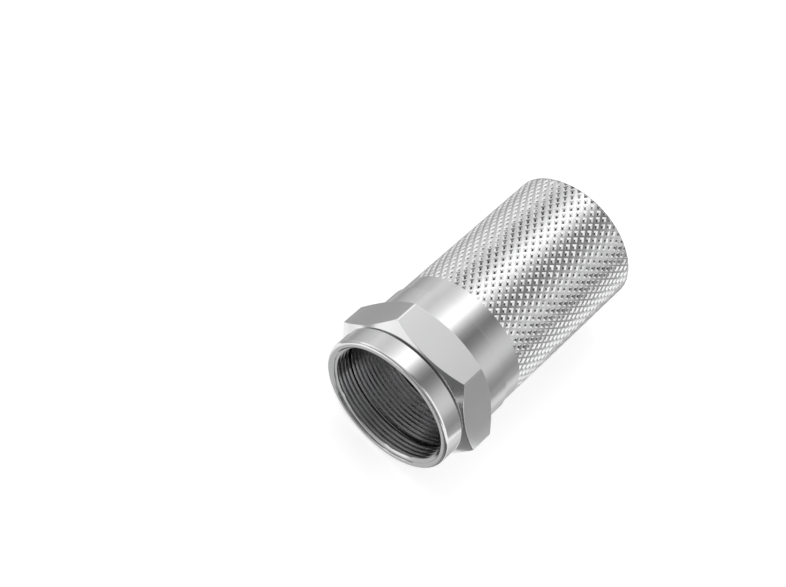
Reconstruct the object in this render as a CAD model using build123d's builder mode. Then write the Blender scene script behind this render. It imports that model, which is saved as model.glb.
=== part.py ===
"""Twist-on F connector for coaxial cable: a swivel coupling nut, a knurled body and a retaining ferrule.

All sizes are in millimetres. The connector's axis is the X axis, with the threaded mouth of the nut
towards -X and the cable end towards +X. The origin is on the axis, half way along the connector, and
two flats of the hexagon are level, one on top and one underneath.
"""

import os
from math import cos, pi, radians, sin, tan

from build123d import *

# Coupling nut, outside
nut_length = 6.52
collar_diameter = 10.84
hex_across_flats = 11.0
hex_length = 2.99
hex_chamfer_angle = 30.0
front_collar_length = 1.65
groove_depth = 0.22
groove_width = 0.11
mouth_round = 0.25
edge_break = 0.06

# Coupling nut, inside: the plain bore is the crest line of its fine thread
thread_bore_diameter = 9.40
mouth_face_width = 0.19
relief_depth = 0.25
retaining_lip_thickness = 0.65

# Running clearances between the turning nut and the fixed pieces
neck_clearance = 0.08
end_clearance = 0.05

# Body
body_length = 14.57
body_diameter = 10.60
body_end_chamfer = 0.22
front_wall_thickness = 1.35
neck_diameter = 7.24
shank_length = 1.57
cable_bore_diameter = 7.80
cable_mouth_chamfer = 0.50

# Diamond knurl: pits pressed into the body, as many round it as each hand of the knurl has starts
knurl_starts = 54
knurl_pitch = 0.88
knurl_depth = 0.18

# Retaining ferrule
flange_diameter = 9.10
flange_thickness = 0.47
ferrule_tube_diameter = 6.20
ferrule_bore_diameter = 5.00
ferrule_edge_chamfer = 0.15

# Stations along the axis, from the mouth of the nut to the cable end
connector_length = nut_length + end_clearance + body_length
nut_front = -connector_length / 2
groove_front = nut_front + front_collar_length
hex_front = groove_front + groove_width
hex_rear = hex_front + hex_length
nut_rear = nut_front + nut_length
lip_front = nut_rear - retaining_lip_thickness
flange_rear = lip_front - end_clearance
flange_front = flange_rear - flange_thickness
relief_front = flange_front - end_clearance
body_front = nut_rear + end_clearance
body_rear = body_front + body_length
cable_bore_floor = body_front + front_wall_thickness
ferrule_rear = cable_bore_floor
knurl_front = body_front + shank_length
knurl_rear = body_rear - body_end_chamfer

# Radii and cones that follow from the sizes above
collar_radius = collar_diameter / 2
groove_radius = collar_radius - groove_depth
hex_corner_radius = hex_across_flats / 3**0.5
hex_slope = tan(radians(hex_chamfer_angle))
front_cone_length = (hex_corner_radius - groove_radius) * hex_slope
rear_cone_length = (hex_corner_radius - collar_radius) * hex_slope
thread_bore_radius = thread_bore_diameter / 2
mouth_chamfer_radius = collar_radius - mouth_round - mouth_face_width
mouth_chamfer_length = mouth_chamfer_radius - thread_bore_radius
relief_radius = thread_bore_radius + relief_depth
lip_bore_radius = neck_diameter / 2 + neck_clearance
body_radius = body_diameter / 2
cable_bore_radius = cable_bore_diameter / 2

# The knurl's rows of pits lie half a pitch apart, each turned by half a start against the last
knurl_rows = round((knurl_rear - knurl_front) / (knurl_pitch / 2))
knurl_row_step = (knurl_rear - knurl_front) / knurl_rows
knurl_corners = 2 * round(knurl_starts)


def lathe_outline(*profile):
    """Return the (station, radius) points of a turned profile, closed down to the axis."""
    return [(profile[0][0], 0), *profile, (profile[-1][0], 0)]


def outer_rim(piece, station):
    """Return the largest circular edge of a piece at a station along the axis."""
    rims = piece.edges().filter_by(GeomType.CIRCLE)
    return rims.filter_by_position(Axis.X, station, station).sort_by(SortBy.RADIUS)[-1]


def knurl_corner(row, turn):
    """Return a corner of the knurl: a ridge crossing or a pit's floor, by turns in both directions."""
    on_ridge = (row + turn) % 2 == 0
    radius = body_radius if on_ridge else body_radius - knurl_depth
    angle = 2 * pi * turn / knurl_corners
    return Vector(knurl_front + row * knurl_row_step, radius * cos(angle), radius * sin(angle))


def knurl_facets():
    """Return the knurl's flanks: between four corners, two triangles that meet along the ridge."""
    facets = []
    for row in range(knurl_rows):
        for turn in range(knurl_corners):
            near, far = knurl_corner(row, turn), knurl_corner(row + 1, turn + 1)
            left, right = knurl_corner(row, turn + 1), knurl_corner(row + 1, turn)
            if (row + turn) % 2:
                near, left, right, far = left, far, near, right
            facets.append(Face(Wire.make_polygon([near, left, far])))
            facets.append(Face(Wire.make_polygon([near, far, right])))
    return facets


def knurl_end(row):
    """Return the flat, notched end face of the knurl at its first or last row."""
    return Face(Wire.make_polygon([knurl_corner(row, turn) for turn in range(knurl_corners)]))


def knurled_bar():
    """Return the knurled length of the body as a solid bar."""
    return Solid(Shell([*knurl_facets(), knurl_end(0), knurl_end(knurl_rows)]))


os.makedirs("parts", exist_ok=True)

# Coupling nut: turned from hexagon bar, with a plain collar at each end, an undercut behind the front
# collar, and an inward lip at the rear that the ferrule's flange holds
with BuildPart() as swivel_nut:
    with BuildSketch(Plane.YZ.offset(nut_front)):
        RegularPolygon(hex_corner_radius, 6)
    extrude(amount=nut_length)
    with BuildSketch(Plane.XZ):
        with BuildLine():
            Polyline(
                *lathe_outline(
                    (nut_front, collar_radius),
                    (groove_front, collar_radius),
                    (groove_front, groove_radius),
                    (hex_front, groove_radius),
                    (hex_front + front_cone_length, hex_corner_radius),
                    (hex_rear - rear_cone_length, hex_corner_radius),
                    (hex_rear, collar_radius),
                    (nut_rear, collar_radius),
                ),
                close=True,
            )
        make_face()
    revolve(axis=Axis.X, mode=Mode.INTERSECT)
    with BuildSketch(Plane.XZ):
        with BuildLine():
            Polyline(
                *lathe_outline(
                    (nut_front, mouth_chamfer_radius),
                    (nut_front + mouth_chamfer_length, thread_bore_radius),
                    (relief_front, thread_bore_radius),
                    (relief_front, relief_radius),
                    (lip_front, relief_radius),
                    (lip_front, lip_bore_radius),
                    (nut_rear, lip_bore_radius),
                ),
                close=True,
            )
        make_face()
    revolve(axis=Axis.X, mode=Mode.SUBTRACT)
    fillet(outer_rim(swivel_nut, nut_front), radius=mouth_round)
    chamfer(outer_rim(swivel_nut, nut_rear), length=edge_break)
swivel_nut.part.label = "swivel_nut"
export_step(swivel_nut.part, "parts/swivel_nut.step")

# Body: the cable's sleeve, with a thin neck that passes forwards through the nut's lip. Behind a plain
# shank it is knurled as far as the chamfer at its cable end
with BuildPart() as knurled_body:
    with BuildSketch(Plane.XZ):
        with BuildLine():
            Polyline(
                *lathe_outline(
                    (flange_rear, neck_diameter / 2),
                    (body_front, neck_diameter / 2),
                    (body_front, body_radius - edge_break),
                    (body_front + edge_break, body_radius),
                    (knurl_front, body_radius),
                ),
                close=True,
            )
        make_face()
    revolve(axis=Axis.X)
    with BuildSketch(Plane.XZ):
        with BuildLine():
            Polyline(
                *lathe_outline(
                    (knurl_rear, body_radius),
                    (body_rear, body_radius - body_end_chamfer),
                ),
                close=True,
            )
        make_face()
    revolve(axis=Axis.X)
    add(knurled_bar(), clean=False)
    with BuildSketch(Plane.XZ):
        with BuildLine():
            Polyline(
                *lathe_outline(
                    (flange_rear, ferrule_tube_diameter / 2),
                    (cable_bore_floor, ferrule_tube_diameter / 2),
                    (cable_bore_floor, cable_bore_radius),
                    (body_rear - cable_mouth_chamfer, cable_bore_radius),
                    (body_rear, cable_bore_radius + cable_mouth_chamfer),
                ),
                close=True,
            )
        make_face()
    revolve(axis=Axis.X, mode=Mode.SUBTRACT, clean=False)
knurled_body.part.label = "knurled_body"
export_step(knurled_body.part, "parts/knurled_body.step")

# Retaining ferrule: a flanged tube pressed into the body's neck, which keeps the nut on
with BuildPart() as retaining_ferrule:
    with BuildSketch(Plane.XZ):
        with BuildLine():
            Polyline(
                *lathe_outline(
                    (flange_front, flange_diameter / 2),
                    (flange_rear, flange_diameter / 2),
                    (flange_rear, ferrule_tube_diameter / 2),
                    (ferrule_rear, ferrule_tube_diameter / 2),
                ),
                close=True,
            )
        make_face()
    revolve(axis=Axis.X)
    with BuildSketch(Plane.XZ):
        with BuildLine():
            Polyline(
                *lathe_outline(
                    (flange_front, ferrule_bore_diameter / 2),
                    (ferrule_rear, ferrule_bore_diameter / 2),
                ),
                close=True,
            )
        make_face()
    revolve(axis=Axis.X, mode=Mode.SUBTRACT)
    chamfer(outer_rim(retaining_ferrule, flange_front), length=ferrule_edge_chamfer)
    chamfer(outer_rim(retaining_ferrule, ferrule_rear), length=ferrule_edge_chamfer)
retaining_ferrule.part.label = "retaining_ferrule"
export_step(retaining_ferrule.part, "parts/retaining_ferrule.step")
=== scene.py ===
"""Dresses the twist-on F connector: a hexagonal coupling nut, a diamond-knurled cable body and a ferrule.

Sizes are in millimetres and follow the solids' stations along the connector's axis, which is X. A mesh is
turned into metres last of all, just before it rides on its body.
"""

import logging
import math
from dataclasses import dataclass
from enum import Enum
from typing import Iterable, Optional, Union

import bmesh
import bpy
from mathutils import Matrix, Vector


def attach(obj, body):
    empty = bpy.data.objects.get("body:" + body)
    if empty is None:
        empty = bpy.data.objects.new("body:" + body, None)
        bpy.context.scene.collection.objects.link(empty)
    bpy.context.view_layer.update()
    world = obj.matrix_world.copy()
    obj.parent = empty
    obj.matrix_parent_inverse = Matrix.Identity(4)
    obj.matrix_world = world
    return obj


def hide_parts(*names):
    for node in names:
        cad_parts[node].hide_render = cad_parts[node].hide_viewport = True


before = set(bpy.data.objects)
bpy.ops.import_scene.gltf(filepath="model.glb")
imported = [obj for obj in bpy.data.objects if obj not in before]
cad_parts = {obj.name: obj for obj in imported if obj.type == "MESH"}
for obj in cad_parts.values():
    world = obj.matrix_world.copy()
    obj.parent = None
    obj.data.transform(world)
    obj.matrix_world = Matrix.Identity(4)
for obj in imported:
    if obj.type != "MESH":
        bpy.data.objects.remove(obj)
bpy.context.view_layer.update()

log = logging.getLogger("f_connector")

MILLIMETRE = 0.001
SAME_PLACE = 0.0005
CREASE = math.radians(18)
# The slope of a thread's end that is very nearly a flat wall
STEEP = 40.0

Number = Union[int, float]
Point = tuple[float, float]
Corner = tuple[float, float, float]


class Plating(Enum):
    """How the metal under the nickel was worked."""

    TURNED = "turned"
    TURNED_FROM_HEXAGON = "turned from hexagon bar"


class Level:
    """One value in a node tree, so that field and shader maths read as plain expressions."""

    def __init__(self, bench: "Bench", socket: bpy.types.NodeSocket) -> None:
        """Wrap a socket.

        Args:
            bench: the bench whose tree holds the socket.
            socket: the output socket that carries the value.
        """
        self.bench = bench
        self.socket = socket

    def sums(self, operation: str, *terms: Union["Level", Number]) -> "Level":
        """Add one Math node.

        Args:
            operation: the Math node's operation.
            terms: its inputs, in order.

        Returns:
            The node's result.
        """
        return self.bench.add("ShaderNodeMath", {"operation": operation}, dict(enumerate(terms)))

    def __add__(self, other: Union["Level", Number]) -> "Level":
        """Return self + other."""
        return self.sums("ADD", self, other)

    def __radd__(self, other: Number) -> "Level":
        """Return other + self."""
        return self.sums("ADD", other, self)

    def __sub__(self, other: Union["Level", Number]) -> "Level":
        """Return self - other."""
        return self.sums("SUBTRACT", self, other)

    def __rsub__(self, other: Number) -> "Level":
        """Return other - self."""
        return self.sums("SUBTRACT", other, self)

    def __mul__(self, other: Union["Level", Number]) -> "Level":
        """Return self * other."""
        return self.sums("MULTIPLY", self, other)

    def __rmul__(self, other: Number) -> "Level":
        """Return other * self."""
        return self.sums("MULTIPLY", other, self)

    def __truediv__(self, other: Union["Level", Number]) -> "Level":
        """Return self / other."""
        return self.sums("DIVIDE", self, other)

    def __mod__(self, other: Union["Level", Number]) -> "Level":
        """Return the remainder that is never negative."""
        return self.sums("FLOORED_MODULO", self, other)

    def __abs__(self) -> "Level":
        """Return the size without its sign."""
        return self.sums("ABSOLUTE", self)

    def floor(self) -> "Level":
        """Return the whole number below."""
        return self.sums("FLOOR", self)

    def sine(self) -> "Level":
        """Return the sine of an angle in radians."""
        return self.sums("SINE", self)

    def cosine(self) -> "Level":
        """Return the cosine of an angle in radians."""
        return self.sums("COSINE", self)

    def root(self) -> "Level":
        """Return the square root."""
        return self.sums("SQRT", self)

    def least(self, other: Union["Level", Number]) -> "Level":
        """Return the smaller of two values."""
        return self.sums("MINIMUM", self, other)

    def most(self, other: Union["Level", Number]) -> "Level":
        """Return the larger of two values."""
        return self.sums("MAXIMUM", self, other)

    def between(self, low: Number, high: Number) -> "Level":
        """Return 0 below low and 1 above high, with a smooth step from one to the other."""
        return self.bench.add("ShaderNodeMapRange", {"interpolation_type": "SMOOTHSTEP"},
                              {"Value": self, "From Min": low, "From Max": high})


class Bench:
    """Adds nodes to one tree."""

    def __init__(self, tree: bpy.types.NodeTree) -> None:
        """Take a tree to work on.

        Args:
            tree: a shader or geometry tree.
        """
        self.tree = tree

    def add(self, kind: str, settings: Optional[dict] = None, inputs: Optional[dict] = None,
            output: Union[int, str] = 0) -> Level:
        """Add one node.

        Args:
            kind: the node's type name.
            settings: its properties, set first. The name "stops" fills a ramp with (place, level) pairs.
            inputs: values or links, by socket name or number.
            output: the output that is handed back.

        Returns:
            The chosen output.
        """
        node = self.tree.nodes.new(kind)
        for name, value in (settings or {}).items():
            if name == "stops":
                self.fill_ramp(node.color_ramp, value)
            else:
                setattr(node, name, value)
        for key, value in (inputs or {}).items():
            if isinstance(value, Level):
                self.tree.links.new(value.socket, node.inputs[key])
            else:
                node.inputs[key].default_value = value
        return Level(self, node.outputs[output])

    @staticmethod
    def fill_ramp(ramp: bpy.types.ColorRamp, stops: Iterable[Point]) -> None:
        """Give a colour ramp its grey stops.

        Args:
            ramp: the ramp.
            stops: (place, level) pairs in rising order.
        """
        stops = list(stops)
        while len(ramp.elements) < len(stops):
            ramp.elements.new(1.0)
        for element, (place, level) in zip(ramp.elements, stops):
            element.position = place
            element.color = (level, level, level, 1.0)

    def vector(self, x: Union[Level, Number], y: Union[Level, Number], z: Union[Level, Number]) -> Level:
        """Return a vector made from three values."""
        return self.add("ShaderNodeCombineXYZ", None, {"X": x, "Y": y, "Z": z})

    def part(self, vector: Level, name: str) -> Level:
        """Return one of a vector's three values, X, Y or Z."""
        return self.add("ShaderNodeSeparateXYZ", None, {"Vector": vector}, name)

    def noise(self, vector: Level, scale: float, detail: float, roughness: float) -> Level:
        """Return a noise pattern from 0 to 1."""
        return self.add("ShaderNodeTexNoise", {"noise_dimensions": "3D"},
                        {"Vector": vector, "Scale": scale, "Detail": detail, "Roughness": roughness})


class GeometryRecipe:
    """A Geometry Nodes tree with named inputs, run once to make a plain mesh."""

    def __init__(self, name: str) -> None:
        """Start an empty tree with one geometry input and output.

        Args:
            name: the tree's name.
        """
        self.tree = bpy.data.node_groups.new(name, "GeometryNodeTree")
        self.bench = Bench(self.tree)
        self.tree.interface.new_socket("Geometry", in_out="INPUT", socket_type="NodeSocketGeometry")
        self.tree.interface.new_socket("Geometry", in_out="OUTPUT", socket_type="NodeSocketGeometry")
        self.values: dict[str, object] = {}
        self.group_input: Optional[bpy.types.Node] = None

    def declare(self, kind: str, **values: object) -> None:
        """Add named inputs of one kind.

        Args:
            kind: the sockets' type, such as "NodeSocketFloat".
            values: each input's value, by name, where an underscore stands for a space.
        """
        for name, value in values.items():
            label = name.replace("_", " ")
            self.tree.interface.new_socket(label, in_out="INPUT", socket_type=kind)
            self.values[label] = value

    def given(self, name: str) -> Level:
        """Return a named input, or the incoming geometry for "Geometry"."""
        if self.group_input is None:
            self.group_input = self.tree.nodes.new("NodeGroupInput")
        return Level(self.bench, self.group_input.outputs[name])

    def close(self, geometry: Level) -> None:
        """End the tree: realise the instances, set the material and hand the geometry over.

        Args:
            geometry: the finished geometry.
        """
        plain = self.bench.add("GeometryNodeRealizeInstances", None, {"Geometry": geometry})
        dressed = self.bench.add("GeometryNodeSetMaterial", None,
                                 {"Geometry": plain, "Material": self.given("Material")})
        end = self.tree.nodes.new("NodeGroupOutput")
        self.tree.links.new(dressed.socket, end.inputs["Geometry"])

    def run(self, start: bpy.types.Mesh) -> bpy.types.Mesh:
        """Evaluate the tree on a mesh.

        Args:
            start: the mesh handed to the tree's geometry input.

        Returns:
            The result as a plain mesh, still in millimetres.
        """
        worker = bpy.data.objects.new(self.tree.name + "_worker", start)
        bpy.context.scene.collection.objects.link(worker)
        modifier = worker.modifiers.new("recipe", "NODES")
        modifier.node_group = self.tree
        for item in self.tree.interface.items_tree:
            if item.item_type == "SOCKET" and item.in_out == "INPUT" and item.name in self.values:
                modifier[item.identifier] = self.values[item.name]
        graph = bpy.context.evaluated_depsgraph_get()
        mesh = bpy.data.meshes.new_from_object(worker.evaluated_get(graph), depsgraph=graph)
        worker.modifiers.remove(modifier)
        bpy.data.objects.remove(worker)
        return mesh


def eased(corners: Iterable[Corner], steps: int = 3, edging: float = 0.03) -> list[Point]:
    """Round the corners of a turned outline.

    Args:
        corners: (station, radius, rounding) of each corner. A rounding of 0 leaves a point as it is.
        steps: the number of short runs in each rounding.
        edging: how far from a rounding the flat surface beside it gets its own ring.

    Returns:
        The outline's points, always as many for the same number of corners and steps.
    """
    spots = [(Vector((x, r)), rounding) for x, r, rounding in corners]
    outline: list[Point] = []
    for index, (spot, rounding) in enumerate(spots):
        if rounding <= 0 or index in (0, len(spots) - 1):
            outline.append((spot.x, spot.y))
            continue
        back = (spots[index - 1][0] - spot).normalized()
        ahead = (spots[index + 1][0] - spot).normalized()
        opening = back.angle(ahead)
        reach = rounding / math.tan(opening / 2)
        centre = spot + (back + ahead).normalized() * rounding / math.sin(opening / 2)
        first, last = spot + back * reach, spot + ahead * reach
        sweep = math.pi - opening
        outline.append(tuple(spot + back * (reach + edging)))
        for step in range(steps + 1):
            share = step / steps
            arm = ((first - centre) * math.sin((1 - share) * sweep)
                   + (last - centre) * math.sin(share * sweep)) / math.sin(sweep)
            outline.append(tuple(centre + arm))
        outline.append(tuple(spot + ahead * (reach + edging)))
    return outline


def ring_at(shell: bmesh.types.BMesh, station: float, radius: float, turns: Iterable[float]) -> list:
    """Add a ring of vertices round the axis.

    Args:
        shell: the mesh that it is added to.
        station: where it lies along the axis.
        radius: its distance from the axis.
        turns: the angle of each vertex, in radians.

    Returns:
        The new vertices.
    """
    return [shell.verts.new((station, radius * math.cos(turn), radius * math.sin(turn))) for turn in turns]


def sleeve(shell: bmesh.types.BMesh, ring: list[bmesh.types.BMVert], outline: Iterable[Point]) -> list:
    """Grow a turned surface from a ring of vertices.

    Args:
        shell: the mesh that it is added to.
        ring: the ring to start from, in order round the axis.
        outline: the (station, radius) of each further ring.

    Returns:
        The last ring.
    """
    turns = [math.atan2(vertex.co.z, vertex.co.y) for vertex in ring]
    for station, radius in outline:
        following = ring_at(shell, station, radius, turns)
        for index in range(len(ring)):
            shell.faces.new((ring[index - 1], ring[index], following[index], following[index - 1]))
        ring = following
    return ring


def zip_rings(shell: bmesh.types.BMesh, one: list[bmesh.types.BMVert], other: list) -> None:
    """Close the band between two rings that need not have as many vertices.

    Args:
        shell: the mesh that the faces are added to.
        one: a ring in rising order of its angle.
        other: the other ring, in the same order.
    """
    def turn(ring: list, index: int) -> float:
        """Return a ring vertex's angle, which keeps rising on the second time round."""
        vertex = ring[index % len(ring)]
        return math.atan2(vertex.co.z, vertex.co.y) + 2 * math.pi * (index // len(ring))

    a = b = 0
    while a < len(one) or b < len(other):
        if b >= len(other) or (a < len(one) and turn(one, a + 1) <= turn(other, b + 1)):
            shell.faces.new((one[a % len(one)], one[(a + 1) % len(one)], other[b % len(other)]))
            a += 1
        else:
            shell.faces.new((one[a % len(one)], other[(b + 1) % len(other)], other[b % len(other)]))
            b += 1


def in_order(ring: Iterable[bmesh.types.BMVert]) -> list[bmesh.types.BMVert]:
    """Return vertices in rising order of their angle about the axis."""
    return sorted(ring, key=lambda vertex: math.atan2(vertex.co.z, vertex.co.y))


def open_ring(shell: bmesh.types.BMesh, station: float, low: float = 0.0, high: float = 99.0) -> list:
    """Find the open edge of a mesh at a station.

    Args:
        shell: the mesh.
        station: where the open edge lies along the axis.
        low: the smallest radius looked at.
        high: the largest radius looked at.

    Returns:
        Its vertices in rising order of their angle.
    """
    return in_order(vertex for vertex in shell.verts
                    if vertex.is_boundary and abs(vertex.co.x - station) < 2 * SAME_PLACE
                    and low < math.hypot(vertex.co.y, vertex.co.z) < high)


@dataclass(frozen=True)
class Shade:
    """A painted shade: a part of the surface whose colour is darkened, where light hardly finds its way in
    and out again.

    Each edge is a pair of stations or radii, between which the shade comes in or goes out.
    """

    strength: float
    from_station: Optional[Point] = None
    to_station: Optional[Point] = None
    from_radius: Optional[Point] = None
    to_radius: Optional[Point] = None

    def amount(self, along: Level, radius: Level) -> Union[Level, Number]:
        """Work out how much of the metal's tone the painted shade takes away.

        Args:
            along: the station along the axis, in metres.
            radius: the distance from the axis, in metres.

        Returns:
            The share taken away, from 0 to the shade's strength.
        """
        amount = self.strength
        for place, coming, going in ((along, self.from_station, self.to_station),
                                     (radius, self.from_radius, self.to_radius)):
            if coming:
                amount = amount * place.between(*(edge * MILLIMETRE for edge in coming))
            if going:
                amount = amount * (1 - place.between(*(edge * MILLIMETRE for edge in going)))
        return amount


@dataclass(frozen=True)
class Finish:
    """Nickel plating with the fine marks of how the metal under it was worked, and painted shade that
    darkens its colour in places.
    """

    slot: str
    plating: Plating
    tone: float
    roughness: float
    painted_shades: tuple[Shade, ...] = ()
    line_depth: float = 0.0006
    line_spacing: float = 0.05
    drawn_share: float = 0.02
    drawn_radii: Point = (5.46, 5.49)
    cloud_scale: float = 420.0
    speck_scale: float = 5200.0
    speck_relief: float = 0.25
    blue_cast: float = 1.008

    def lines(self, bench: Bench, along: Level, across: Level, up: Level, radius: Level) -> Level:
        """Make the fine lines of the lathe and, on a hexagon's flats, those of the drawn bar.

        Args:
            bench: the bench of the material's tree.
            along: the station along the axis, in metres.
            across: the place along Y.
            up: the place along Z.
            radius: the distance from the axis.

        Returns:
            A pattern from 0 to 1.
        """
        per_line = 1 / (self.line_spacing * MILLIMETRE)
        turned = bench.noise(bench.vector(along * per_line, radius * per_line, 0.0), 1.0, 3.0, 0.6)
        if self.plating is Plating.TURNED:
            return turned
        drawn_place = bench.vector(along * (per_line * self.drawn_share), across * per_line, up * per_line)
        drawn = bench.noise(drawn_place, 1.0, 3.0, 0.6)
        facing = bench.part(bench.add("ShaderNodeTexCoord", None, None, "Normal"), "X")
        beyond = radius.between(*(edge * MILLIMETRE for edge in self.drawn_radii))
        flat = (1 - abs(facing).between(0.1, 0.3)) * beyond
        return turned + (drawn - turned) * flat

    def material(self) -> bpy.types.Material:
        """Return the procedural material of this finish."""
        material = bpy.data.materials.new(self.slot + "_nickel")
        material.use_nodes = True
        tree = material.node_tree
        shader = tree.nodes["Principled BSDF"]
        bench = Bench(tree)
        place = bench.add("ShaderNodeTexCoord", None, None, "Object")
        along, across, up = (bench.part(place, name) for name in "XYZ")
        radius = (across * across + up * up).root()
        lines = self.lines(bench, along, across, up, radius)
        clouds = bench.noise(place, self.cloud_scale, 4.0, 0.55) - 0.5
        specks = bench.noise(place, self.speck_scale, 2.0, 0.6) - 0.5
        rough = self.roughness + clouds * 0.08 + (lines - 0.5) * 0.04 + specks * 0.04
        tint = self.tone * (1 + clouds * 0.05 + specks * 0.03)
        # Painted shade: each shade darkens the colour where little light reaches.
        for shade in self.painted_shades:
            tint = tint * (1 - shade.amount(along, radius))
        colour = bench.add("ShaderNodeCombineColor", {"mode": "RGB"},
                           {"Red": tint, "Green": tint, "Blue": tint * self.blue_cast})
        bump = bench.add("ShaderNodeBump", None,
                         {"Strength": 1.0, "Distance": self.line_depth * MILLIMETRE,
                          "Height": lines + specks * self.speck_relief})
        shader.inputs["Metallic"].default_value = 1.0
        tree.links.new(rough.socket, shader.inputs["Roughness"])
        tree.links.new(colour.socket, shader.inputs["Base Color"])
        tree.links.new(bump.socket, shader.inputs["Normal"])
        return material


def hand_over(shell: bmesh.types.BMesh, name: str, node: str, body: str,
              material: bpy.types.Material) -> bpy.types.Object:
    """Turn a finished shell into a piece that stands for a solid of the frame.

    Args:
        shell: the closed mesh, in millimetres. It is freed here.
        name: the piece's name.
        node: the solid that it replaces.
        body: the moving body that it rides on.
        material: the finish's material.

    Returns:
        The new object.
    """
    bmesh.ops.remove_doubles(shell, verts=shell.verts, dist=SAME_PLACE)
    bmesh.ops.dissolve_degenerate(shell, edges=shell.edges, dist=SAME_PLACE / 5)
    bmesh.ops.recalc_face_normals(shell, faces=shell.faces)
    loose = sum(1 for edge in shell.edges if len(edge.link_faces) != 2)
    bmesh.ops.scale(shell, verts=shell.verts, vec=Vector((1, 1, 1)) * MILLIMETRE)
    mesh = bpy.data.meshes.new(name)
    shell.to_mesh(mesh)
    shell.free()
    mesh.materials.clear()
    mesh.materials.append(material)
    mesh.shade_smooth()
    mesh.set_sharp_from_angle(angle=CREASE)
    piece = bpy.data.objects.new(name, mesh)
    bpy.context.scene.collection.objects.link(piece)
    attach(piece, body)
    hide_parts(node)
    mesh.calc_loop_triangles()
    log.info("%s: %d triangles, %d open or doubled edges", name, len(mesh.loop_triangles), loose)
    return piece


@dataclass(frozen=True)
class InnerThread:
    """A right-handed thread cut in a bore, from one open ring to the other.

    Each end runs into a cone, whose slope is the change of radius for a step along the axis.
    """

    name: str
    pitch: float
    crest_radius: float
    root_radius: float
    front: float
    rear: float
    front_radius: float
    rear_radius: float
    front_slope: float
    rear_slope: float
    columns: int = 144
    rows_per_turn: int = 12
    crowding: float = 0.0
    crest_share: float = 1 / 3
    root_share: float = 1 / 6

    def mesh(self, material: bpy.types.Material) -> bpy.types.Mesh:
        """Make the thread's surface.

        Args:
            material: the material set at the end of the tree.

        Returns:
            A tube-like mesh whose two open ends are round.
        """
        rows = math.ceil((self.rear - self.front) / self.pitch + 2) * self.rows_per_turn
        recipe = GeometryRecipe(self.name)
        recipe.declare("NodeSocketFloat", Pitch=self.pitch, Crest_Radius=self.crest_radius,
                       Root_Radius=self.root_radius, Front=self.front, Rear=self.rear,
                       Front_Radius=self.front_radius, Rear_Radius=self.rear_radius,
                       Front_Slope=self.front_slope, Rear_Slope=self.rear_slope,
                       Corner_Crowding=self.crowding)
        recipe.declare("NodeSocketInt", Columns=self.columns, Rows=rows, Rows_per_Turn=self.rows_per_turn)
        recipe.declare("NodeSocketMaterial", Material=material)
        bench, given = recipe.bench, recipe.given
        grid = bench.add("GeometryNodeMeshGrid", None,
                         {"Vertices X": given("Columns") + 1, "Vertices Y": given("Rows") + 1})
        index = bench.add("GeometryNodeInputIndex")
        across = given("Rows") + 1
        column = ((index + 0.5) / across).floor()
        row = index - column * across
        turn = column * (2 * math.pi) / given("Columns")
        turn = turn - (turn * 6).sine() * given("Corner Crowding") / 6
        start = given("Front") - given("Pitch")
        raw = start + given("Pitch") * (row / given("Rows per Turn") + turn / (2 * math.pi))
        station = raw.most(given("Front")).least(given("Rear"))
        phase = (row / given("Rows per Turn")) % 1
        flank_share = (1 - self.crest_share - self.root_share) / 2
        height = (((1 - self.crest_share) / 2 - abs(phase - 0.5)) / flank_share).most(0.0).least(1.0)
        radius = given("Crest Radius") + (given("Root Radius") - given("Crest Radius")) * height
        front_cone = given("Front Radius") - (station - given("Front")) * given("Front Slope")
        rear_cone = given("Rear Radius") - (given("Rear") - station) * given("Rear Slope")
        radius = radius.most(front_cone).most(rear_cone)
        place = bench.vector(station, radius * turn.cosine(), radius * turn.sine())
        formed = bench.add("GeometryNodeSetPosition", None, {"Geometry": grid, "Position": place})
        joined = bench.add("GeometryNodeMergeByDistance", None,
                           {"Geometry": formed, "Distance": SAME_PLACE})
        recipe.close(joined)
        return recipe.run(bpy.data.meshes.new(self.name + "_start"))


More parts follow.
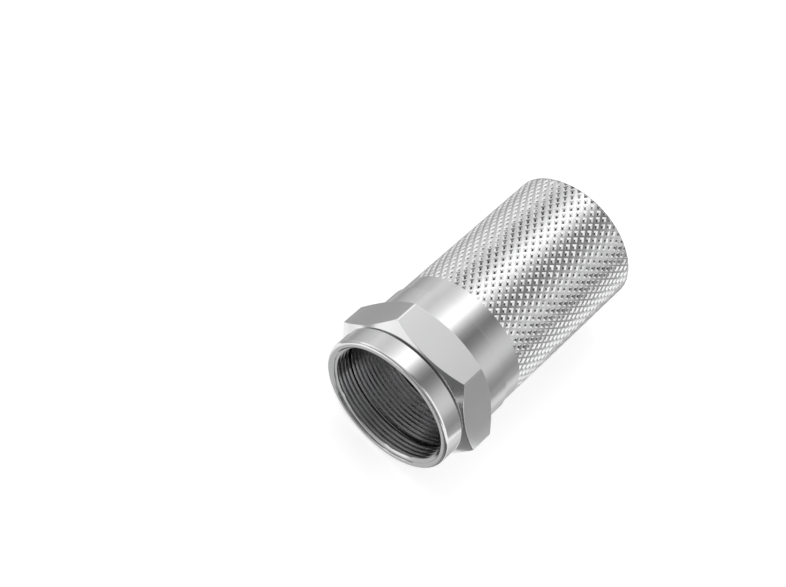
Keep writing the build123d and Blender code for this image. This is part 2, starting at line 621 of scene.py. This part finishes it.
@dataclass(frozen=True)
class CouplingNut:
    """The swivel nut: turned from hexagon bar, with a fine thread in its mouth."""

    front: float = -10.57
    groove_front: float = -8.92
    hex_front: float = -8.81
    hex_rear: float = -5.82
    relief_front: float = -5.27
    lip_front: float = -4.70
    rear: float = -4.05
    collar_radius: float = 5.42
    groove_radius: float = 5.20
    across_flats: float = 11.0
    corner_round: float = 0.12
    cone_slope: float = math.tan(math.radians(30))
    mouth_round: float = 0.25
    mouth_radius: float = 4.98
    crest_radius: float = 4.70
    root_radius: float = 4.93
    thread_pitch: float = 0.343
    relief_radius: float = 4.95
    lip_bore_radius: float = 3.70
    thread_start: float = 0.03
    mouth_edge_round: float = 0.02
    rear_edge_round: float = 0.015
    edge_round: float = 0.03
    ring_gap: float = 0.04
    plain_collar: float = 0.3
    columns: int = 240
    crowding: float = 0.9

    def turn(self, column: int) -> float:
        """Return a column's angle. Columns crowd together at the hexagon's corners."""
        plain = 2 * math.pi * column / self.columns
        return plain - self.crowding / 6 * math.sin(6 * plain)

    def bar_radius(self, turn: float) -> float:
        """Return the hexagon bar's distance from the axis at an angle.

        Args:
            turn: the angle about the axis, in radians. Corners lie at multiples of 60 degrees.

        Returns:
            The radius, with the bar's corners slightly rounded.
        """
        sixth = math.pi / 3
        off_corner = abs((turn + sixth / 2) % sixth - sixth / 2)
        centre = (self.across_flats / 2 - self.corner_round) / math.cos(sixth / 2)
        tangent = math.atan2(self.corner_round * 0.5, centre + self.corner_round * math.cos(sixth / 2))
        if off_corner > tangent:
            return self.across_flats / 2 / math.cos(sixth / 2 - off_corner)
        inside = self.corner_round ** 2 - (centre * math.sin(off_corner)) ** 2
        return centre * math.cos(off_corner) + math.sqrt(inside)

    def outline(self, turn: float) -> list[Point]:
        """Return the nut's outline at one angle, from the mouth round the outside and back inside.

        Args:
            turn: the angle about the axis, in radians.

        Returns:
            The (station, radius) points, as many for every angle.
        """
        bar = self.bar_radius(turn)
        front_edge = self.hex_front + (bar - self.groove_radius) * self.cone_slope
        rear_edge = self.hex_rear - (bar - self.collar_radius) * self.cone_slope
        start = self.thread_start
        face_ring = self.collar_radius - self.mouth_round - self.ring_gap
        collar_ring = self.groove_front - self.plain_collar
        mouth = eased([
            (self.front + start, self.mouth_radius - start, 0),
            (self.front, self.mouth_radius, self.mouth_edge_round),
            (self.front, face_ring, 0),
        ], steps=2, edging=0.01)
        lip_round = eased([
            (self.front, face_ring, 0),
            (self.front, self.collar_radius, self.mouth_round),
            (collar_ring, self.collar_radius, 0),
        ], steps=8)
        outside = eased([
            (collar_ring, self.collar_radius, 0),
            (self.groove_front, self.collar_radius, self.edge_round),
            (self.groove_front, self.groove_radius, 0),
            (self.hex_front, self.groove_radius, 0),
            (front_edge, bar, self.edge_round),
            (rear_edge, bar, self.edge_round),
            (self.hex_rear, self.collar_radius, self.edge_round),
            (self.rear, self.collar_radius, self.rear_edge_round),
            (self.rear, self.lip_bore_radius, self.edge_round),
            (self.lip_front, self.lip_bore_radius, self.edge_round),
            (self.lip_front, self.relief_radius, 0),
            (self.relief_front, self.relief_radius, 0),
        ], edging=0.02)
        # The lip leaves out the point that it shares with the mouth and the ring after it, and the outside
        # leaves out the point that it shares with the lip
        return mouth + lip_round[2:] + outside[1:]

    def build(self) -> bpy.types.Object:
        """Make, dress and hand over the nut."""
        # Painted shade: the nut's colour is darkened in the groove before the hexagon and inside the
        # threaded bore behind the mouth, where little light reaches.
        groove = Shade(0.97, from_station=(self.groove_front - 0.02, self.groove_front + 0.01),
                       to_station=(self.hex_front, self.hex_front + 0.02),
                       to_radius=(self.collar_radius - 0.06, self.collar_radius - 0.01))
        bore = Shade(0.15, from_station=(self.front + 0.12, self.front + 0.67),
                     to_radius=(self.mouth_radius - 0.02, self.mouth_radius + 0.01))
        finish = Finish("plated_nut", Plating.TURNED_FROM_HEXAGON, 0.76, 0.17, (groove, bore))
        material = finish.material()
        thread = InnerThread(
            "coupling_thread", pitch=self.thread_pitch, crest_radius=self.crest_radius,
            root_radius=self.root_radius, front=self.front + self.thread_start, rear=self.relief_front,
            front_radius=self.mouth_radius - self.thread_start, rear_radius=self.relief_radius,
            front_slope=1.0, rear_slope=STEEP, columns=self.columns, crowding=self.crowding,
        )
        shell = bmesh.new()
        shell.from_mesh(thread.mesh(material))
        turns = [self.turn(column) for column in range(self.columns)]
        outlines = [self.outline(turn) for turn in turns]
        rings = [[shell.verts.new((outline[step][0], outline[step][1] * math.cos(turn),
                                   outline[step][1] * math.sin(turn)))
                  for outline, turn in zip(outlines, turns)] for step in range(len(outlines[0]))]
        for near, far in zip(rings, rings[1:]):
            for column in range(self.columns):
                shell.faces.new((near[column - 1], near[column], far[column], far[column - 1]))
        return hand_over(shell, "coupling_nut", "swivel_nut", "nut", material)


@dataclass(frozen=True)
class DiamondKnurl:
    """Pits pressed into a bar in a diamond lattice, with flat lands left between them."""

    starts: int = 54
    front: float = -2.43
    rear: float = 10.35
    rows: int = 29
    radius: float = 5.30
    pit_depth: float = 0.14
    land_shares: Point = (0.34, 0.24)
    wall_share: float = 0.17
    wall_fall: float = 0.53
    unevenness: float = 0.10
    seed: int = 7

    def tile(self) -> bpy.types.Mesh:
        """Return one pit between its four lands, flattened out, with its middle at the origin."""
        lines_u, lines_v = ([(0.0, 0.0), (land / 2, 0.0), (land / 2 + self.wall_share, self.wall_fall),
                             (0.5, 1.0), (1 - land / 2 - self.wall_share, self.wall_fall),
                             (1 - land / 2, 0.0), (1.0, 0.0)]
                            for land in self.land_shares)
        row_step = (self.rear - self.front) / self.rows
        turn_step = 2 * math.pi * self.radius / (2 * self.starts)
        points, faces = [], []
        for u, fall_u in lines_u:
            for v, fall_v in lines_v:
                points.append(((u - v) * row_step, (u + v - 1) * turn_step, -min(fall_u, fall_v)))
        count = len(lines_u)
        for i in range(count - 1):
            for j in range(count - 1):
                a, b = i * count + j, (i + 1) * count + j
                if i == j:
                    faces += [(a, b, b + 1), (a, b + 1, a + 1)]
                elif i + j == count - 2:
                    faces += [(a, b, a + 1), (b, b + 1, a + 1)]
                else:
                    faces.append((a, b, b + 1, a + 1))
        mesh = bpy.data.meshes.new("knurl_tile")
        mesh.from_pydata(points, [], faces)
        return mesh

    def mesh(self, material: bpy.types.Material) -> bpy.types.Mesh:
        """Make the knurled surface, one row longer at each end than the finished knurl.

        Args:
            material: the material set at the end of the tree.

        Returns:
            The knurl wrapped round the bar, in millimetres.
        """
        recipe = GeometryRecipe("diamond_knurl")
        recipe.declare("NodeSocketInt", Starts=self.starts, Rows=self.rows + 3, Seed=self.seed)
        recipe.declare("NodeSocketFloat", Front=self.front, Radius=self.radius,
                       Row_Step=(self.rear - self.front) / self.rows, Pit_Depth=self.pit_depth,
                       Unevenness=self.unevenness)
        recipe.declare("NodeSocketMaterial", Material=material)
        bench, given = recipe.bench, recipe.given
        lattice = bench.add("GeometryNodeMeshGrid", None,
                            {"Vertices X": given("Rows"), "Vertices Y": given("Starts")})
        index = bench.add("GeometryNodeInputIndex")
        row = ((index + 0.5) / given("Starts")).floor()
        column = index - row * given("Starts")
        arc = given("Radius") * math.pi / given("Starts")
        along = given("Front") + (row - 1) * given("Row Step")
        around = (column * 2 + row % 2) * arc
        spread = bench.add("GeometryNodeSetPosition", None,
                           {"Geometry": lattice, "Position": bench.vector(along, around, 0.0)})
        chance = bench.add("FunctionNodeRandomValue", {"data_type": "FLOAT"},
                           {"Min": 1 - given("Unevenness"), "Max": 1 + given("Unevenness"),
                            "ID": index, "Seed": given("Seed")}, 1)
        pits = bench.add("GeometryNodeInstanceOnPoints", None,
                         {"Points": spread, "Instance": given("Geometry"),
                          "Scale": bench.vector(1.0, 1.0, given("Pit Depth") * chance)})
        flat = bench.add("GeometryNodeRealizeInstances", None, {"Geometry": pits})
        here = bench.add("GeometryNodeInputPosition")
        turn = bench.part(here, "Y") / given("Radius")
        reach = given("Radius") + bench.part(here, "Z")
        wrapped = bench.add("GeometryNodeSetPosition", None,
                            {"Geometry": flat,
                             "Position": bench.vector(bench.part(here, "X"), reach * turn.cosine(),
                                                      reach * turn.sine())})
        joined = bench.add("GeometryNodeMergeByDistance", None,
                           {"Geometry": wrapped, "Distance": SAME_PLACE})
        recipe.close(joined)
        return recipe.run(self.tile())


@dataclass(frozen=True)
class CableBody:
    """The knurled sleeve that twists onto the cable, with its neck through the nut."""

    knurl: DiamondKnurl = DiamondKnurl()
    neck_front: float = -4.75
    front: float = -4.00
    bore_floor: float = -2.65
    rear: float = 10.57
    neck_radius: float = 3.62
    radius: float = 5.30
    end_chamfer: float = 0.22
    ferrule_radius: float = 3.10
    bore_radius: float = 3.90
    mouth_chamfer: float = 0.50
    jacket_pitch: float = 1.35
    jacket_root: float = 4.22
    front_edge_round: float = 0.015
    neck_edge_round: float = 0.05
    end_edge_round: float = 0.05
    mouth_edge: float = 0.01
    shank_border: float = 0.015
    end_border: float = 0.01
    end_face: float = 0.3
    thread_inset: float = 0.05
    floor_gap: float = 0.03

    def trimmed_knurl(self, material: bpy.types.Material) -> bmesh.types.BMesh:
        """Return the knurl cut square at both of its ends."""
        shell = bmesh.new()
        shell.from_mesh(self.knurl.mesh(material))
        for station, side in ((self.knurl.front, -1), (self.knurl.rear, 1)):
            bmesh.ops.bisect_plane(shell, geom=[*shell.verts, *shell.edges, *shell.faces],
                                   dist=SAME_PLACE, plane_co=(station, 0, 0), plane_no=(side, 0, 0),
                                   clear_outer=True)
        return shell

    def build(self) -> bpy.types.Object:
        """Make, dress and hand over the body."""
        # Painted shade: the colour is darkened at the bottom of each knurl pit, where little light reaches.
        painted_pit_shade = Shade(0.85, to_station=(self.knurl.rear - 0.05, self.knurl.rear + 0.01),
                         from_radius=(self.radius - 0.40, self.radius - 0.35),
                         to_radius=(self.radius - 0.102, self.radius - 0.086))
        finish = Finish("plated_body", Plating.TURNED, 0.76, 0.20, (painted_pit_shade,))
        material = finish.material()
        shell = self.trimmed_knurl(material)
        shank = eased([
            (self.knurl.front - self.shank_border, self.radius, 0),
            (self.front, self.radius, self.front_edge_round),
            (self.front, self.neck_radius, self.neck_edge_round),
            (self.neck_front, self.neck_radius, self.neck_edge_round),
            (self.neck_front, self.ferrule_radius, 0),
            (self.bore_floor, self.ferrule_radius, 0),
        ], steps=4)
        floor_ring = sleeve(shell, open_ring(shell, self.knurl.front), shank)
        end_radius = self.radius - self.end_chamfer
        chamfer = eased([
            (self.knurl.rear + self.end_border, self.radius, 0),
            (self.rear, end_radius, self.end_edge_round),
            (self.rear, end_radius - self.end_face, 0),
        ], steps=4)
        end_ring = sleeve(shell, open_ring(shell, self.knurl.rear), chamfer)
        thread_end = self.rear - self.thread_inset
        mouth_radius = self.bore_radius + self.mouth_chamfer
        thread = InnerThread(
            "jacket_thread", pitch=self.jacket_pitch, crest_radius=self.bore_radius,
            root_radius=self.jacket_root, front=self.bore_floor, rear=thread_end,
            front_radius=self.jacket_root + self.floor_gap, rear_radius=mouth_radius - self.thread_inset,
            front_slope=STEEP, rear_slope=1.0,
        )
        before = set(shell.verts)
        shell.from_mesh(thread.mesh(material))
        fresh = [vertex for vertex in shell.verts if vertex not in before]
        bmesh.ops.remove_doubles(shell, verts=fresh, dist=SAME_PLACE)
        inner_floor = open_ring(shell, self.bore_floor, self.jacket_root)
        zip_rings(shell, in_order(floor_ring), inner_floor)
        mouth = sleeve(shell, open_ring(shell, thread_end, 0.0, mouth_radius),
                       [(self.rear - self.mouth_edge, mouth_radius - self.mouth_edge),
                        (self.rear, mouth_radius + self.mouth_edge),
                        (self.rear, mouth_radius + 4 * self.mouth_edge)])
        zip_rings(shell, in_order(mouth), in_order(end_ring))
        return hand_over(shell, "cable_body", "knurled_body", "body", material)


@dataclass(frozen=True)
class RetainingFerrule:
    """The flanged tube pressed into the body's neck, which keeps the nut on."""

    front: float = -5.22
    flange_rear: float = -4.75
    rear: float = -2.65
    flange_radius: float = 4.55
    tube_radius: float = 3.10
    bore_radius: float = 2.50
    flange_edge_round: float = 0.15
    flange_back_round: float = 0.04
    bore_edge_round: float = 0.08
    tube_edge_round: float = 0.12
    tube_mouth_round: float = 0.05
    columns: int = 180

    def build(self) -> bpy.types.Object:
        """Make, dress and hand over the ferrule."""
        finish = Finish("plated_ferrule", Plating.TURNED, 0.74, 0.22)
        material = finish.material()
        middle = (self.front + self.rear) / 2
        outline = eased([
            (middle, self.bore_radius, 0),
            (self.front, self.bore_radius, self.bore_edge_round),
            (self.front, self.flange_radius, self.flange_edge_round),
            (self.flange_rear, self.flange_radius, self.flange_back_round),
            (self.flange_rear, self.tube_radius, 0),
            (self.rear, self.tube_radius, self.tube_edge_round),
            (self.rear, self.bore_radius, self.tube_mouth_round),
            (middle, self.bore_radius, 0),
        ], steps=5)
        shell = bmesh.new()
        turns = [2 * math.pi * column / self.columns for column in range(self.columns)]
        sleeve(shell, ring_at(shell, *outline[0], turns), outline[1:])
        return hand_over(shell, "ferrule", "retaining_ferrule", "body", material)


def add_reflector(name: str, corners: Iterable[Corner], stops: tuple[Point, ...], axis: str, low: float,
                  high: float) -> bpy.types.Object:
    """Add a flat sheet that is seen only as a reflection in the metal, hidden from the camera, diffuse
    light and shadows.

    Args:
        name: the sheet's name.
        corners: its four corners in order, in millimetres.
        stops: (place, level) pairs of its brightness.
        axis: the axis that the brightness runs along, Y or Z.
        low: where place 0 lies on that axis, in millimetres.
        high: where place 1 lies on it.

    Returns:
        The sheet.
    """
    mesh = bpy.data.meshes.new(name)
    mesh.from_pydata([Vector(corner) * MILLIMETRE for corner in corners], [], [(0, 1, 2, 3)])
    material = bpy.data.materials.new(name)
    material.use_nodes = True
    tree = material.node_tree
    tree.nodes.remove(tree.nodes["Principled BSDF"])
    bench = Bench(tree)
    along = bench.part(bench.add("ShaderNodeTexCoord", None, None, "Object"), axis)
    share = (along - low * MILLIMETRE) / ((high - low) * MILLIMETRE)
    ramp = bench.add("ShaderNodeValToRGB", {"stops": stops}, {0: share})
    glow = bench.add("ShaderNodeEmission", None, {"Color": ramp, "Strength": 1.0})
    tree.links.new(glow.socket, tree.nodes["Material Output"].inputs["Surface"])
    mesh.materials.append(material)
    sheet = bpy.data.objects.new(name, mesh)
    bpy.context.scene.collection.objects.link(sheet)
    sheet.visible_camera = sheet.visible_diffuse = sheet.visible_shadow = False
    sheet.visible_transmission = sheet.visible_volume_scatter = False
    return sheet


@dataclass(frozen=True)
class Board:
    """A low board that stands by the connector, seen only as a reflection in its metal."""

    name: str
    start: Point
    end: Point
    foot: float
    top: float
    stops: tuple[Point, ...]

    def build(self) -> bpy.types.Object:
        """Make the board, seen only as a reflection."""
        corners = [(*self.start, self.foot), (*self.end, self.foot), (*self.end, self.top),
                   (*self.start, self.top)]
        return add_reflector(self.name, corners, self.stops, "Z", self.foot, self.top)


@dataclass(frozen=True)
class Card:
    """A grey card that lies on the floor, seen only as a reflection in the metal."""

    name: str
    near: Point
    far: Point
    stops: tuple[Point, ...]
    height: float = -5.45

    def build(self) -> bpy.types.Object:
        """Make the card, seen only as a reflection."""
        corners = [(*self.near, self.height), (self.far[0], self.near[1], self.height),
                   (*self.far, self.height), (self.near[0], self.far[1], self.height)]
        return add_reflector(self.name, corners, self.stops, "Y", self.near[1], self.far[1])


@dataclass(frozen=True)
class SoftLamp:
    """A square lamp that shines at the connector and isn't reflected in it."""

    name: str
    place: Corner
    size: float
    power: float

    def build(self) -> None:
        """Hang the lamp."""
        light = bpy.data.lights.new(self.name, "AREA")
        light.shape, light.size, light.energy = "SQUARE", self.size * MILLIMETRE, self.power
        lamp = bpy.data.objects.new(self.name, light)
        lamp.location = Vector(self.place) * MILLIMETRE
        lamp.rotation_euler = (-lamp.location).to_track_quat("-Z", "Y").to_euler()
        lamp.visible_glossy = False
        bpy.context.scene.collection.objects.link(lamp)


@dataclass(frozen=True)
class Studio:
    """A pale floor, a soft tent of light round the connector, and the camera.

    The tent's levels run round the X axis, from +Y by way of +Z. The front tent is what surfaces that are
    turned a little towards the mouth reflect.
    """

    floor_level: float = -5.5
    floor_size: float = 600.0
    tent: tuple[Point, ...] = (
        (0.000, 0.40), (0.030, 0.47), (0.075, 0.39), (0.125, 0.52), (0.160, 0.76), (0.195, 0.95),
        (0.225, 0.48), (0.258, 0.20), (0.292, 0.10), (0.325, 0.15), (0.390, 0.37), (0.430, 0.41),
        (0.460, 0.35), (0.490, 0.22), (0.520, 0.20),
    )
    front_tent: tuple[Point, ...] = (
        (0.00, 0.70), (0.06, 0.66), (0.10, 0.42), (0.14, 0.66), (0.21, 0.70), (0.25, 0.10), (0.30, 0.08),
        (0.34, 0.70), (0.50, 0.70),
    )
    tent_scale: float = 1.8
    rear_tent_blend: Point = (0.10, 0.38)
    end_level: float = 1.10
    end_blend: Point = (0.70, 0.92)
    mouth_level: float = 0.40
    mouth_blend: Point = (-0.45, -0.28)
    diffuse_level: float = 0.65
    floor_glow: float = 0.48
    focal_length: float = 84.36
    sensor_width: float = 36.0
    camera_place: Corner = (-69.479, -12.828, 111.106)
    camera_right: Corner = (0.65383, -0.70688, 0.26988)
    camera_up: Corner = (0.56410, 0.69310, 0.44878)
    camera_back: Corner = (-0.50429, -0.14119, 0.85191)

    def world(self) -> None:
        """Light the world: a plain pale level, white to the camera, and a tent to the metal."""
        world = bpy.data.worlds.new("studio")
        world.use_nodes = True
        bpy.context.scene.world = world
        tree = world.node_tree
        bench = Bench(tree)
        ray = bench.add("ShaderNodeTexCoord", None, None, "Generated")
        along, across, up = (bench.part(ray, name) for name in "XYZ")
        angle = bench.add("ShaderNodeMath", {"operation": "ARCTAN2"}, {0: up, 1: across})
        share = (angle / (2 * math.pi)) % 1
        rear, front = (bench.add("ShaderNodeRGBToBW", None, {"Color": bench.add(
            "ShaderNodeValToRGB", {"stops": stops}, {0: share})}) for stops in (self.tent, self.front_tent))
        level = (front + (rear - front) * along.between(*self.rear_tent_blend)) * self.tent_scale
        level = level + (self.end_level - level) * abs(along).between(*self.end_blend)
        level = self.mouth_level + (level - self.mouth_level) * along.between(*self.mouth_blend)
        path = bench.tree.nodes.new("ShaderNodeLightPath")
        camera, diffuse = (Level(bench, path.outputs[name]) for name in ("Is Camera Ray", "Is Diffuse Ray"))
        level = level + (self.diffuse_level - level) * diffuse
        level = level + (1.0 - level) * camera
        colour = bench.add("ShaderNodeCombineColor", {"mode": "RGB"},
                           {"Red": level, "Green": level, "Blue": level})
        backdrop = tree.nodes["Background"]
        tree.links.new(colour.socket, backdrop.inputs["Color"])
        backdrop.inputs["Strength"].default_value = 1.0

    def floor(self) -> None:
        """Lay the pale floor, which shows white to the camera and to the metal except in shadow."""
        half, level = self.floor_size / 2 * MILLIMETRE, self.floor_level * MILLIMETRE
        mesh = bpy.data.meshes.new("floor")
        mesh.from_pydata([(-half, -half, level), (half, -half, level), (half, half, level),
                          (-half, half, level)], [], [(0, 1, 2, 3)])
        material = bpy.data.materials.new("pale_floor")
        material.use_nodes = True
        tree = material.node_tree
        shader = tree.nodes["Principled BSDF"]
        shader.inputs["Base Color"].default_value = (0.80, 0.80, 0.80, 1.0)
        shader.inputs["Roughness"].default_value = 1.0
        shader.inputs["Specular IOR Level"].default_value = 0.0
        bench = Bench(tree)
        path = tree.nodes.new("ShaderNodeLightPath")
        seen = [Level(bench, path.outputs[name]) for name in
                ("Is Camera Ray", "Is Glossy Ray", "Is Transmission Ray")]
        shown = seen[0].most(seen[1]).most(seen[2])
        shader.inputs["Emission Color"].default_value = (1.0, 1.0, 1.0, 1.0)
        tree.links.new((shown * self.floor_glow).socket, shader.inputs["Emission Strength"])
        mesh.materials.append(material)
        floor = bpy.data.objects.new("floor", mesh)
        bpy.context.scene.collection.objects.link(floor)

    def lamps(self) -> None:
        """Hang two soft lamps, which light the floor and give the connector its shadow."""
        for lamp in (
            SoftLamp("key_lamp", (20.0, 100.0, 200.0), 160.0, 0.11),
            SoftLamp("fill_lamp", (-100.0, -160.0, 160.0), 160.0, 0.05),
        ):
            lamp.build()

    def camera(self) -> None:
        """Set the camera at the photograph's viewing angle."""
        data = bpy.data.cameras.new("camera")
        data.sensor_width, data.lens = self.sensor_width, self.focal_length
        data.clip_start, data.clip_end = 0.001, 10.0
        view = bpy.data.objects.new("camera", data)
        turned = Matrix((self.camera_right, self.camera_up, self.camera_back)).transposed().to_4x4()
        view.matrix_world = Matrix.Translation(Vector(self.camera_place) * MILLIMETRE) @ turned
        bpy.context.scene.collection.objects.link(view)
        bpy.context.scene.camera = view

    def boards(self) -> None:
        """Stand the boards and lay the cards that the connector reflects near the floor."""
        for board in (
            Board("left_board", (-17.5, 13.0), (60.0, 13.0), -5.4, 3.5,
                  ((0.0, 0.38), (0.3, 0.42), (0.65, 0.57), (1.0, 0.70))),
            Board("right_board", (-1.0, -32.0), (90.0, -32.0), -5.4, 8.0,
                  ((0.0, 0.31), (0.35, 0.31), (0.80, 0.41), (1.0, 0.45))),
            Board("front_board", (-45.0, -40.0), (-45.0, 5.0), -5.4, 14.0,
                  ((0.0, 0.10), (1.0, 0.20))),
            Board("front_left_board", (-45.0, 9.0), (-45.0, 40.0), -5.4, 9.0,
                  ((0.0, 1.10), (1.0, 1.10))),
        ):
            board.build()
        for card in (
            # Painted shade seen only in the metal: the mouth card and the near right card darken the
            # floor's reflection in front of the mouth and beside the connector, where its shade falls.
            Card("mouth_shade_card", (-40.0, -20.0), (-9.5, 11.0),
                 ((0.0, 0.08), (0.24, 0.10), (0.38, 0.25), (0.42, 0.25), (0.484, 0.55), (0.85, 0.55),
                  (0.91, 1.0), (1.0, 1.0))),
            Card("far_right_card", (-1.0, -32.0), (90.0, -15.0), ((0.0, 0.39), (0.80, 0.39), (1.0, 0.75))),
            Card("near_right_shade_card", (-8.0, -15.0), (90.0, -6.0),
                 ((0.0, 0.75), (0.40, 0.82), (0.62, 0.60), (1.0, 0.48))),
            Card("near_left_card", (-8.0, 5.5), (90.0, 13.0),
                 ((0.0, 0.66), (0.20, 0.66), (0.42, 0.36), (0.72, 0.60), (1.0, 0.42))),
            Card("rear_card", (15.0, -6.0), (60.0, 5.5), ((0.0, 0.10), (1.0, 0.10)), -5.4),
        ):
            card.build()

    def build(self) -> None:
        """Set up the whole studio."""
        bpy.context.scene.view_settings.view_transform = "Standard"
        self.world()
        self.floor()
        self.boards()
        self.lamps()
        self.camera()


def main() -> None:
    """Build the studio and every piece of the connector, in order."""
    logging.basicConfig(level=logging.INFO, format="%(name)s: %(message)s")
    Studio().build()
    for piece in (CouplingNut(), CableBody(), RetainingFerrule()):
        made = piece.build()
        log.info("%s is in place", made.name)


if __name__ == "__main__":
    main()
